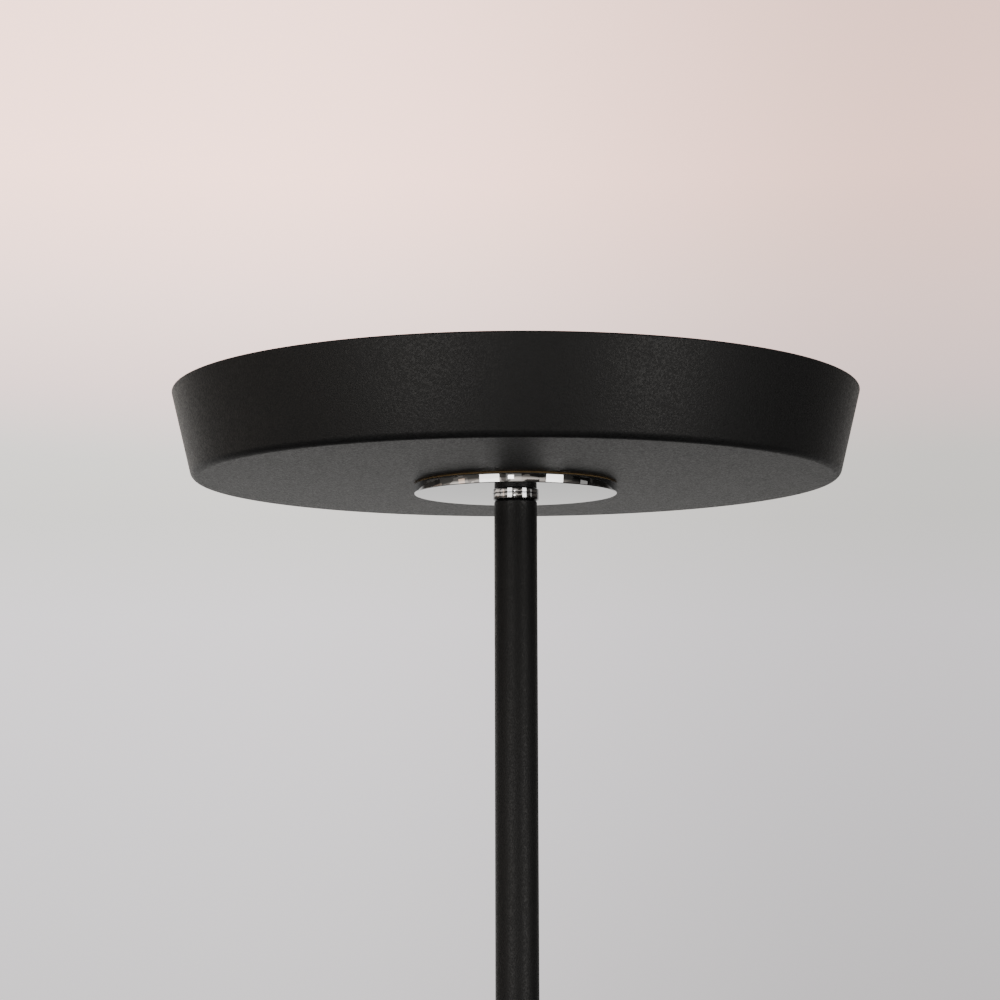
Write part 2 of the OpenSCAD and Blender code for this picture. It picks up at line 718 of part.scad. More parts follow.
module mount_disc() {
    lower_edge = 0.3;
    upper_edge = 1.2;
    r = disc_d / 2;
    color("#d9dadb") translate([0, 0, head_z - disc_t]) rotate_extrude($fn = 180) polygon([
        [through_hole_d / 2, 0], [r - lower_edge, 0], [r, lower_edge],
        [r, disc_t - upper_edge], [r - upper_edge, disc_t], [through_hole_d / 2, disc_t]
    ]);
}

module head_shell() {
    color("#1d1d1f") translate([0, 0, head_z]) rotate_extrude($fn = 180)
        polygon(tray_outline(head_d, head_h, head_lean, head_sheet, head_edge_r,
            through_hole_d / 2));
}

module heat_plate() {
    color("#c9cbcd") translate([0, 0, head_z + head_sheet]) difference() {
        cylinder(r = heat_plate_r, h = heat_plate_t, $fn = 180);
        translate([0, 0, -1]) cylinder(d = through_hole_d, h = heat_plate_t + 2);
        at_angles(4, board_screw_r, 45) translate([0, 0, -1])
            cylinder(d = screw_d + 2 * thread_gap, h = heat_plate_t + 2, $fn = 32);
    }
}

module head_washer() {
    color("#b9bcbe") translate([0, 0, head_z + heat_plate_top])
        ring(washer_d, nipple_d + 2 * thread_gap, washer_t);
}

module head_lock_washer() {
    color("#a9acae") translate([0, 0, head_z + heat_plate_top + washer_t])
        toothed_washer(lock_washer_d, nipple_d + 2 * thread_gap, tooth_washer_t);
}

module head_nut() {
    color("#c6b98a") translate([0, 0, head_nut_z])
        hex_nut(nut_flats, nut_h, nipple_d + 2 * thread_gap);
}

module led_board() {
    color("#f4f4f1") translate([0, 0, head_z + heat_plate_top]) difference() {
        cylinder(r = led_board_r, h = led_board_t, $fn = 180);
        translate([0, 0, -1]) cylinder(d = led_board_hole_d, h = led_board_t + 2);
        at_angles(4, board_screw_r, 45) translate([0, 0, -1])
            cylinder(d = screw_d + 4 * thread_gap, h = led_board_t + 2, $fn = 32);
    }
}

module led_chips() {
    color("#f2c94c") translate([0, 0, head_z + led_board_top])
        for (row = led_rings) at_angles(row[1], row[0] * led_board_r)
            translate([-led_size[0] / 2, -led_size[1] / 2, 0]) cube(led_size);
}

module board_screws() {
    color("#b9bcbe") at_angles(4, board_screw_r, 45) translate([0, 0, head_z + led_board_top])
        pan_screw(screw_d, led_board_t + heat_plate_t - slip_gap, screw_head_d, screw_head_h);
}

module led_connector() {
    color("#efeee9") translate([0, connector_y, head_z + led_board_top]) difference() {
        translate([-connector_size[0] / 2, -connector_size[1] / 2, 0]) cube(connector_size);
        translate([0, 0, connector_size[2] / 2]) rotate([-90, 0, 0])
            cylinder(d = lamp_lead_d + 2 * thread_gap, h = connector_size[1], $fn = 32);
    }
}

module reflector_ring() {
    floor_z = heat_plate_top;
    lip_r = diffuser_r(diffuser_bottom) - 0.4;
    in_r = lip_r - reflector_lip;
    t = reflector_t;
    color("#f4f4f1") translate([0, 0, head_z]) rotate_extrude($fn = 180) polygon([
        [reflector_foot_r, floor_z], [reflector_foot_r + reflector_foot_w, floor_z],
        [reflector_foot_r + reflector_foot_w, floor_z + t],
        [in_r + t, diffuser_bottom - t], [lip_r, diffuser_bottom - t],
        [lip_r, diffuser_bottom], [in_r, diffuser_bottom],
        [reflector_foot_r, floor_z + 1.6 * t]
    ]);
}

module diffuser() {
    edge = 0.3;
    color("#fbf7f0") translate([0, 0, head_z]) rotate_extrude($fn = 180) polygon([
        [0, diffuser_bottom], [diffuser_r(diffuser_bottom) - edge, diffuser_bottom],
        [diffuser_r(diffuser_bottom + edge), diffuser_bottom + edge],
        [diffuser_r(diffuser_top - edge), diffuser_top - edge],
        [diffuser_r(diffuser_top) - edge, diffuser_top], [0, diffuser_top]
    ]);
}

module diffuser_snap_ring() {
    color("#1d1d1f") translate([0, 0, head_z + snap_ring_z]) rotate(snap_ring_gap / 2)
        rotate_extrude(angle = 360 - snap_ring_gap, $fn = 180)
            translate([snap_ring_r, 0]) circle(d = snap_wire_d, $fn = 32);
}

module head_nipple() { nipple_between(pole_head - nipple_reach, head_nipple_top); }
module head_collar() { translate([0, 0, pole_head]) collar_ring(); }

// ---------- Leads ----------

// From the driver's side, up through the base's nipple and the pole to the dimmer
module supply_lead() {
    start_x = driver_x + driver_size[0] / 2 - 3;
    color("#232325") swept_tube(concat(
        [[start_x, 0, lead_z], [(start_x - lead_bend_r) / 2, 0, lead_z]],
        [for (a = [0:15:90]) [lead_bend_r * (sin(a) - 1), 0, lead_z + lead_bend_r * (1 - cos(a))]],
        [for (z = [pole_foot, joint_z, dimmer_z - dimmer_board_size[2] / 2 - 2]) [0, 0, z]]
    ), lead_d, [0, 1, 0]);
}

// From the dimmer, over the nipple in the head and down into the LED board's connector
module lamp_lead() {
    loop_r = 6;
    entry_z = head_z + led_board_top + connector_size[2] / 2;
    color("#232325") swept_tube(concat(
        [for (z = [dimmer_z + dimmer_board_size[2] / 2 + 2, barrel_top, pole_head]) [0, 0, z]],
        [for (a = [0:20:120]) [0, -loop_r * (1 - cos(a)), head_nipple_top + loop_r * sin(a) / 2]],
        [for (d = [7.5, 3.5, 1]) [0, connector_y + connector_size[1] / 2 + d - 1.5, entry_z]]
    ), lamp_lead_d, [1, 0, 0]);
}

base_feet();
bottom_plate();
plate_screws();
base_weight();
base_cover();
flex_gland();
terminal_block();
terminal_screws();
input_wires();
led_driver();
driver_screws();
base_nut();
base_lock_washer();
base_washer();
base_nipple();
base_collar();
foot_insert();
pole_lower();
joint_lower_insert();
joint_nipple();
joint_upper_insert();
pole_middle();
dimmer_lower_insert();
dimmer_lower_nipple();
dimmer_body();
dimmer_cover();
dimmer_screws();
dimmer_board();
dimmer_board_parts();
potentiometer();
pot_washer();
pot_nut();
pot_shaft();
dimmer_knob();
knob_grub_screw();
knob_cap();
dimmer_upper_nipple();
dimmer_upper_insert();
pole_upper();
head_insert();
head_nipple();
head_collar();
mount_disc();
head_shell();
heat_plate();
head_washer();
head_lock_washer();
head_nut();
led_board();
led_chips();
board_screws();
led_connector();
reflector_ring();
diffuser();
diffuser_snap_ring();
supply_lead();
lamp_lead();
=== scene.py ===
"""Torchiere floor lamp: finishes, turned shells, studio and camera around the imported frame.

The frame holds every piece at its place. This script turns the spun and drawn pieces again as
smooth surfaces, gives each piece the finish of the real one, and sets a plain studio.
"""

import json
import logging
import math
from dataclasses import dataclass
from enum import Enum
from typing import Any, Dict, List, Optional, Sequence, Tuple, Union

import bpy
from mathutils import Matrix, Vector


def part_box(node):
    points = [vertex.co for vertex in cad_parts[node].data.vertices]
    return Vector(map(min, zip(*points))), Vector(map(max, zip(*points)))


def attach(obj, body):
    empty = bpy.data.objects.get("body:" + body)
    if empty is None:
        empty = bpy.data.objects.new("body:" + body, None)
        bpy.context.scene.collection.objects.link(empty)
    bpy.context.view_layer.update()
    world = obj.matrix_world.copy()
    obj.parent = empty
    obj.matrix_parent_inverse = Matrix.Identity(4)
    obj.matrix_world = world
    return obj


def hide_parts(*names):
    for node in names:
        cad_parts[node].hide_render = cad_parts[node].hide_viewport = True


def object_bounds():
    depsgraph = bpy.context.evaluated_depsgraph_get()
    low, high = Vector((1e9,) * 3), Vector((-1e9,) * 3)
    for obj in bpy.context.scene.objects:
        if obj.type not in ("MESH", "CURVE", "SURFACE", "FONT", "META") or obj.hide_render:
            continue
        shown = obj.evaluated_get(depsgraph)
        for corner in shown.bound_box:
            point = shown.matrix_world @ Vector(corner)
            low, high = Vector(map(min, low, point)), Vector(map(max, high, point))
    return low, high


LOG = logging.getLogger("torchiere")
MM = 0.001

# Radius of the hole that clears a 10 mm nipple, in the head and in both collars.
NIPPLE_HOLE_R = 5.2 * MM
# A fold above this angle keeps its crisp edge.
SHARP_ANGLE = math.radians(32)
# Points nearer to each other than this become one.
WELD = 0.002 * MM
# A finish spreads the values of a pattern between these two over its whole range.
PATTERN_LOW, PATTERN_HIGH = 0.3, 0.7

Node = bpy.types.Node
Socket = bpy.types.NodeSocket
Tree = bpy.types.NodeTree
Object = bpy.types.Object
Material = bpy.types.Material
Mesh = bpy.types.Mesh
Point = Tuple[float, float]
Stops = Tuple[Tuple[float, str], ...]
Value = Union[Socket, float, int, bool, Sequence[float], Object, Material]

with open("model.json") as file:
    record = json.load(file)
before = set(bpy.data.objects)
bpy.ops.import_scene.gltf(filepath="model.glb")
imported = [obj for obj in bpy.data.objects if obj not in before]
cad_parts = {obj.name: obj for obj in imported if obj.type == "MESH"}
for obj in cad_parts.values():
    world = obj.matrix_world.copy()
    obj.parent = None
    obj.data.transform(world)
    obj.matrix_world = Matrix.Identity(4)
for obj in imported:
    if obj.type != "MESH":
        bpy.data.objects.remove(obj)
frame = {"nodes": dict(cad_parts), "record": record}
cad_low, cad_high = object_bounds()


# ---------- Colour and nodes ----------


def linear(hex_colour: str) -> Tuple[float, float, float, float]:
    """Turns an sRGB hex colour to the linear values that Blender's sockets take.

    Args:
        hex_colour: six hex digits after a hash, such as "#1B1B1C".

    Returns:
        Red, green and blue from 0 to 1, and an alpha of 1.
    """
    channels = [int(hex_colour[i : i + 2], 16) / 255 for i in (1, 3, 5)]
    red, green, blue = [
        c / 12.92 if c <= 0.04045 else ((c + 0.055) / 1.055) ** 2.4 for c in channels
    ]
    return red, green, blue, 1.0


def per_metre(size_mm: float) -> float:
    """Gives the texture scale whose features are size_mm across."""
    return 1.0 / (size_mm * MM)


def add_node(
    tree: Tree,
    kind: str,
    settings: Optional[Dict[str, Any]] = None,
    inputs: Optional[Dict[Any, Value]] = None,
) -> Node:
    """Adds a node with its settings and its links.

    Args:
        tree: the node tree that gets the node.
        kind: the node's type name.
        settings: attributes of the node; "stops" are places from 0 to 1 with their hex colours.
        inputs: socket name or number, and either the socket that feeds it or its value.

    Returns:
        The new node.
    """
    node = tree.nodes.new(kind)
    for name, value in (settings or {}).items():
        if name != "stops":
            setattr(node, name, value)
            continue
        elements = node.color_ramp.elements
        while len(elements) < len(value):
            elements.new(0.5)
        for element, (place, colour) in zip(elements, value):
            element.position = place
            element.color = linear(colour)
    for key, value in (inputs or {}).items():
        socket = node.inputs[key]
        if isinstance(value, Socket):
            tree.links.new(value, socket)
        else:
            socket.default_value = value
    return node


# ---------- Finishes ----------


@dataclass(frozen=True)
class Finish:
    """What every finish has: its name, which is also the material's."""

    name: str

    def begin(self) -> Tuple[Material, Tree, Node, Socket]:
        """Makes an empty material.

        Returns:
            The material, its tree, its shader and the object's own coordinates.
        """
        material = bpy.data.materials.new(self.name)
        material.use_nodes = True
        tree = material.node_tree
        tree.nodes.clear()
        shader = add_node(tree, "ShaderNodeBsdfPrincipled")
        add_node(tree, "ShaderNodeOutputMaterial", inputs={"Surface": shader.outputs[0]})
        place = add_node(tree, "ShaderNodeTexCoord").outputs["Object"]
        return material, tree, shader, place


@dataclass(frozen=True)
class Skin:
    """What a process leaves on a surface: two shades that drift, a range of gloss, a relief."""

    shade: str
    colour: str
    cloud_mm: float
    grain_mm: float
    depth_mm: float
    smoothest: float
    roughest: float
    cloud_detail: float = 3.0
    grain_detail: float = 3.5
    shade_until: float = 0.33
    colour_from: float = 0.63
    strength: float = 0.35

    def lay(self, tree: Tree, shader: Node, place: Socket) -> Socket:
        """Lays the skin on a shader.

        Args:
            tree: the material's node tree.
            shader: what gets the skin.
            place: the object's own coordinates.

        Returns:
            The skin's colour, already linked.
        """
        cloud_size = per_metre(self.cloud_mm)
        grain_size = per_metre(self.grain_mm)
        cloud = add_node(
            tree,
            "ShaderNodeTexNoise",
            inputs={"Vector": place, "Scale": cloud_size, "Detail": self.cloud_detail},
        ).outputs["Fac"]
        grain = add_node(
            tree,
            "ShaderNodeTexNoise",
            inputs={"Vector": place, "Scale": grain_size, "Detail": self.grain_detail},
        ).outputs["Fac"]
        drift = ((self.shade_until, self.shade), (self.colour_from, self.colour))
        colour = add_node(
            tree, "ShaderNodeValToRGB", {"stops": drift}, {"Fac": cloud}
        ).outputs["Color"]
        gloss = add_node(
            tree,
            "ShaderNodeMapRange",
            inputs={
                "Value": cloud,
                "From Min": PATTERN_LOW,
                "From Max": PATTERN_HIGH,
                "To Min": self.smoothest,
                "To Max": self.roughest,
            },
        ).outputs["Result"]
        relief = add_node(
            tree,
            "ShaderNodeBump",
            inputs={"Height": grain, "Distance": self.depth_mm * MM, "Strength": self.strength},
        ).outputs["Normal"]
        for name, socket in (("Base Color", colour), ("Roughness", gloss), ("Normal", relief)):
            tree.links.new(socket, shader.inputs[name])
        return colour


@dataclass(frozen=True)
class PowderCoat(Finish):
    """Polyester powder baked on steel: a fine even texture whose crests catch the light.

    The texture and its flakes are drawn coarser than the real ones, which are too fine to show.
    """

    dark: str = "#090909"
    pale: str = "#0F0F10"
    texture_mm: float = 0.62
    texture_depth_mm: float = 0.1
    texture_strength: float = 0.7
    flake_mm: float = 0.5
    flake_depth_mm: float = 0.035
    flake_strength: float = 0.45
    smoothest: float = 0.415
    roughest: float = 0.535
    ior: float = 1.5

    def build(self) -> Material:
        """Makes the material."""
        material, tree, shader, place = self.begin()
        crests = add_node(
            tree,
            "ShaderNodeTexNoise",
            inputs={"Vector": place, "Scale": per_metre(self.texture_mm), "Detail": 3.0},
        ).outputs["Fac"]
        cells = add_node(
            tree,
            "ShaderNodeTexVoronoi",
            {"feature": "F1"},
            {"Vector": place, "Scale": per_metre(self.flake_mm)},
        ).outputs["Color"]
        flakes = add_node(tree, "ShaderNodeSeparateColor", inputs={"Color": cells}).outputs[0]
        shades = ((PATTERN_LOW, self.dark), (PATTERN_HIGH, self.pale))
        colour = add_node(
            tree, "ShaderNodeValToRGB", {"stops": shades}, {"Fac": crests}
        ).outputs["Color"]
        gloss = add_node(
            tree,
            "ShaderNodeMapRange",
            inputs={
                "Value": flakes,
                "From Min": PATTERN_LOW,
                "From Max": PATTERN_HIGH,
                "To Min": self.smoothest,
                "To Max": self.roughest,
            },
        ).outputs["Result"]
        coarse = add_node(
            tree,
            "ShaderNodeBump",
            inputs={
                "Height": crests,
                "Distance": self.texture_depth_mm * MM,
                "Strength": self.texture_strength,
            },
        ).outputs["Normal"]
        fine = add_node(
            tree,
            "ShaderNodeBump",
            inputs={
                "Height": flakes,
                "Distance": self.flake_depth_mm * MM,
                "Strength": self.flake_strength,
                "Normal": coarse,
            },
        ).outputs["Normal"]
        for name, socket in (("Base Color", colour), ("Roughness", gloss), ("Normal", fine)):
            tree.links.new(socket, shader.inputs[name])
        shader.inputs["IOR"].default_value = self.ior
        return material


class Metal(Enum):
    """Bare and plated metals, by the colour that they reflect."""

    CHROME = "#DDDEE0"
    ZINC = "#B9BCBF"
    BRASS = "#CDB06A"
    ALUMINIUM = "#CFD1D3"
    IRON = "#4A4A4C"


@dataclass(frozen=True)
class MetalFinish(Finish):
    """A bare or plated metal, with the marks that its making left.

    The finer marks, such as those of turning, are drawn coarser than real so that they show.
    Where a height in metres is set, a warm reflection is painted from that height up: dull brass
    colour, as of plate worn through.
    """

    metal: Metal
    shade: str
    roughness: float
    spread: float = 0.08
    mark_mm: float = 3.0
    mark_depth_mm: float = 0.004
    marks_per_cloud: float = 9.0
    # The painted warm reflection on a top edge: the height it starts at, how fast it fades in,
    # its colour and how metallic it is.
    painted_reflection_above: float = 0.0
    painted_reflection_fade: float = 0.2 * MM
    painted_reflection_colour: str = "#B8996A"
    painted_reflection_metallic: float = 0.6

    def build(self) -> Material:
        """Makes the material."""
        material, tree, shader, place = self.begin()
        skin = Skin(
            shade=self.shade,
            colour=self.metal.value,
            cloud_mm=self.mark_mm * self.marks_per_cloud,
            grain_mm=self.mark_mm,
            depth_mm=self.mark_depth_mm,
            smoothest=self.roughness,
            roughest=self.roughness + self.spread,
        )
        plated = skin.lay(tree, shader, place)
        shader.inputs["Metallic"].default_value = 1.0
        # Paints the warm reflection, drawn as brass under worn plate, where a height is given.
        if self.painted_reflection_above > 0:
            self.paint_warm_reflection(tree, shader, place, plated)
        return material

    def paint_warm_reflection(self, tree: Tree, shader: Node, place: Socket, plated: Socket) -> None:
        """Paints a warm reflection on the top edge from the given height up: dull brass colour
        and less metal, as if the plate were worn through.

        Args:
            tree: the material's node tree.
            shader: what gets the colour.
            place: the object's own coordinates.
            plated: the plate's colour.
        """
        height = add_node(tree, "ShaderNodeSeparateXYZ", inputs={"Vector": place}).outputs["Z"]
        painted_reflection_mask = add_node(
            tree,
            "ShaderNodeMapRange",
            inputs={
                "Value": height,
                "From Min": self.painted_reflection_above,
                "From Max": self.painted_reflection_above + self.painted_reflection_fade,
            },
        ).outputs["Result"]
        # The Mix node's two colour inputs are its sockets 6 and 7, and its colour output is 2.
        mixed = add_node(
            tree,
            "ShaderNodeMix",
            {"data_type": "RGBA"},
            {"Factor": painted_reflection_mask, 6: plated, 7: linear(self.painted_reflection_colour)},
        ).outputs[2]
        metallic = add_node(
            tree,
            "ShaderNodeMapRange",
            inputs={"Value": painted_reflection_mask, "To Min": 1.0, "To Max": self.painted_reflection_metallic},
        ).outputs["Result"]
        tree.links.new(mixed, shader.inputs["Base Color"])
        tree.links.new(metallic, shader.inputs["Metallic"])


@dataclass(frozen=True)
class PlasticFinish(Finish):
    """A moulded plastic or rubber, with the spark-eroded grain of its mould.

    The grain is drawn coarser than the real one, which is too fine to show.
    """

    colour: str
    shade: str
    roughness: float
    grain_mm: float = 0.8
    depth_mm: float = 0.02
    ior: float = 1.5
    grains_per_cloud: float = 12.0
    spread: float = 0.06

    def build(self) -> Material:
        """Makes the material."""
        material, tree, shader, place = self.begin()
        Skin(
            shade=self.shade,
            colour=self.colour,
            cloud_mm=self.grain_mm * self.grains_per_cloud,
            grain_mm=self.grain_mm,
            depth_mm=self.depth_mm,
            smoothest=self.roughness - self.spread,
            roughest=self.roughness + self.spread,
        ).lay(tree, shader, place)
        shader.inputs["IOR"].default_value = self.ior
        return material


@dataclass(frozen=True)
class OpalAcrylic(Finish):
    """Opal acrylic lit from below: brightest over the LED rows and softer towards the rim.

    The glow's stops are shares of the disc's radius.
    """

    skin: Skin = Skin("#ECE8DF", "#F4F1EA", 9.0, 0.7, 0.01, 0.4, 0.45)
    glow: Stops = (
        (0.0, "#FFE9C9"),
        (0.42, "#FFF1DC"),
        (0.74, "#FFF1DC"),
        (0.93, "#FFE6C2"),
        (1.0, "#FFD7A3"),
    )
    radius: float = 124.0 * MM
    strength: float = 3.2
    ior: float = 1.49

    def build(self) -> Material:
        """Makes the material."""
        material, tree, shader, place = self.begin()
        self.skin.lay(tree, shader, place)
        flat = add_node(
            tree,
            "ShaderNodeVectorMath",
            {"operation": "MULTIPLY"},
            {0: place, 1: (1.0, 1.0, 0.0)},
        ).outputs["Vector"]
        distance = add_node(
            tree, "ShaderNodeVectorMath", {"operation": "LENGTH"}, {0: flat}
        ).outputs["Value"]
        share = add_node(
            tree, "ShaderNodeMath", {"operation": "DIVIDE"}, {0: distance, 1: self.radius}
        ).outputs[0]
        glow = add_node(
            tree, "ShaderNodeValToRGB", {"stops": self.glow}, {"Fac": share}
        ).outputs["Color"]
        tree.links.new(glow, shader.inputs["Emission Color"])
        shader.inputs["Emission Strength"].default_value = self.strength
        shader.inputs["IOR"].default_value = self.ior
        return material


FINISHES: Tuple[Finish, ...] = (
    # Fine-textured satin powder coat: near black, with grey crests where a light is mirrored.
    PowderCoat("black_powder_coat"),
    # Polished chrome plate: a mirror with a trace of haze from handling.
    # On the disc a warm reflection is painted along the edge under the head, as brass showing
    # through thinned plate.
    MetalFinish(
        "polished_chrome",
        Metal.CHROME,
        "#D6D8DB",
        0.018,
        spread=0.03,
        mark_mm=6.0,
        mark_depth_mm=0.0006,
        painted_reflection_above=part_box("mount_disc")[1].z - 0.75 * MM,
    ),
    # Blackened spring steel: a dull dark grey sheen.
    MetalFinish("black_spring_steel", Metal.IRON, "#2A2A2B", 0.42, 0.12, 1.2, 0.01),
    # Bright zinc plate: a cool clouded grey.
    MetalFinish("zinc_steel", Metal.ZINC, "#9DA1A5", 0.3, 0.14, 1.4, 0.006),
    # Turned brass: warm, with fine tool marks.
    MetalFinish("yellow_brass", Metal.BRASS, "#AD9050", 0.24, 0.1, 1.0, 0.005),
    # Rolled aluminium: pale and softly clouded.
    MetalFinish("heat_plate_aluminium", Metal.ALUMINIUM, "#B4B7BA", 0.34, 0.1, 2.0, 0.006),
    # Grey cast iron: sandy skin, nearly matt.
    MetalFinish("grey_cast_iron", Metal.IRON, "#333335", 0.62, 0.16, 1.1, 0.09),
    # Opal acrylic, lit: warm white, a little deeper at the centre and the rim.
    OpalAcrylic("opal_diffuser"),
    # White polyester reflector: matt and even.
    PlasticFinish("white_reflector", "#F1F0EC", "#E6E4DE", 0.55),
    # White solder mask over glass fibre: a slightly glossy white.
    PlasticFinish("white_solder_mask", "#F0EFEA", "#E2E1DA", 0.3, 1.2, 0.008),
    # Silicone filled with yellow phosphor: deep yellow with a soft gloss.
    PlasticFinish("led_phosphor", "#E9BE4B", "#DDAE38", 0.35, 0.4, 0.01, 1.41),
    # Moulded nitrile rubber: dead matt black.
    PlasticFinish("black_rubber", "#1A1A1B", "#141415", 0.78, 0.9, 0.04, 1.52),
    # Glass-filled nylon: satin black from a sparked mould.
    PlasticFinish("black_nylon", "#171718", "#121213", 0.44, 0.6, 0.03, 1.53),
    # White PBT: satin and slightly warm.
    PlasticFinish("white_plastic", "#ECEAE2", "#E0DDD3", 0.4, 0.9, 0.015),
    # Green solder mask over copper: a glossy deep green.
    PlasticFinish("green_solder_mask", "#2C6A43", "#225638", 0.28, 1.5, 0.01),
    # Moulded component cases: satin charcoal.
    PlasticFinish("component_plastic", "#2B2B30", "#202024", 0.4, 0.5, 0.015),
    # Black PVC sleeve: soft dark grey.
    PlasticFinish("lead_sleeve", "#222224", "#1A1A1C", 0.5, 1.0, 0.015, 1.53),
    # Blue PVC core insulation: plain and slightly glossy.
    PlasticFinish("core_insulation", "#2B4F86", "#23436F", 0.38, 1.0, 0.01, 1.53),
)


# ---------- Turned pieces ----------


@dataclass(frozen=True)
class Corner:
    """A corner of a turned outline: radius from the axis, height and rounding, in metres."""

    r: float
    z: float
    rounding: float = 0.0


@dataclass(frozen=True)
class Outline:
    """A closed outline to turn about the axis, anticlockwise with the axis on its left."""

    corners: Tuple[Corner, ...]
    steps: int = 8

    def points(self) -> List[Point]:
        """Rounds each corner with an arc that touches both of its sides.

        Returns:
            Radius and height of each point. The first one is repeated at the end, unless the
            outline starts and ends on the axis.
        """
        found: List[Point] = []
        count = len(self.corners)
        for i, corner in enumerate(self.corners):
            before, after = self.corners[i - 1], self.corners[(i + 1) % count]
            rounding = corner.rounding
            if rounding <= 0:
                found.append((corner.r, corner.z))
                continue
            here = Vector((corner.r, corner.z))
            back = Vector((before.r, before.z)) - here
            ahead = Vector((after.r, after.z)) - here
            half = back.angle(ahead) / 2
            middle = (back.normalized() + ahead.normalized()).normalized()
            centre = here + middle * (rounding / math.sin(half))
            start = here + back.normalized() * (rounding / math.tan(half)) - centre
            end = here + ahead.normalized() * (rounding / math.tan(half)) - centre
            first = math.atan2(start.y, start.x)
            turn = (math.atan2(end.y, end.x) - first + math.pi) % (2 * math.pi) - math.pi
            for step in range(self.steps + 1):
                angle = first + turn * step / self.steps
                r = centre.x + rounding * math.cos(angle)
                found.append((r, centre.y + rounding * math.sin(angle)))
        solid = self.corners[0].r == 0.0 and self.corners[-1].r == 0.0
        return found if solid else found + found[:1]


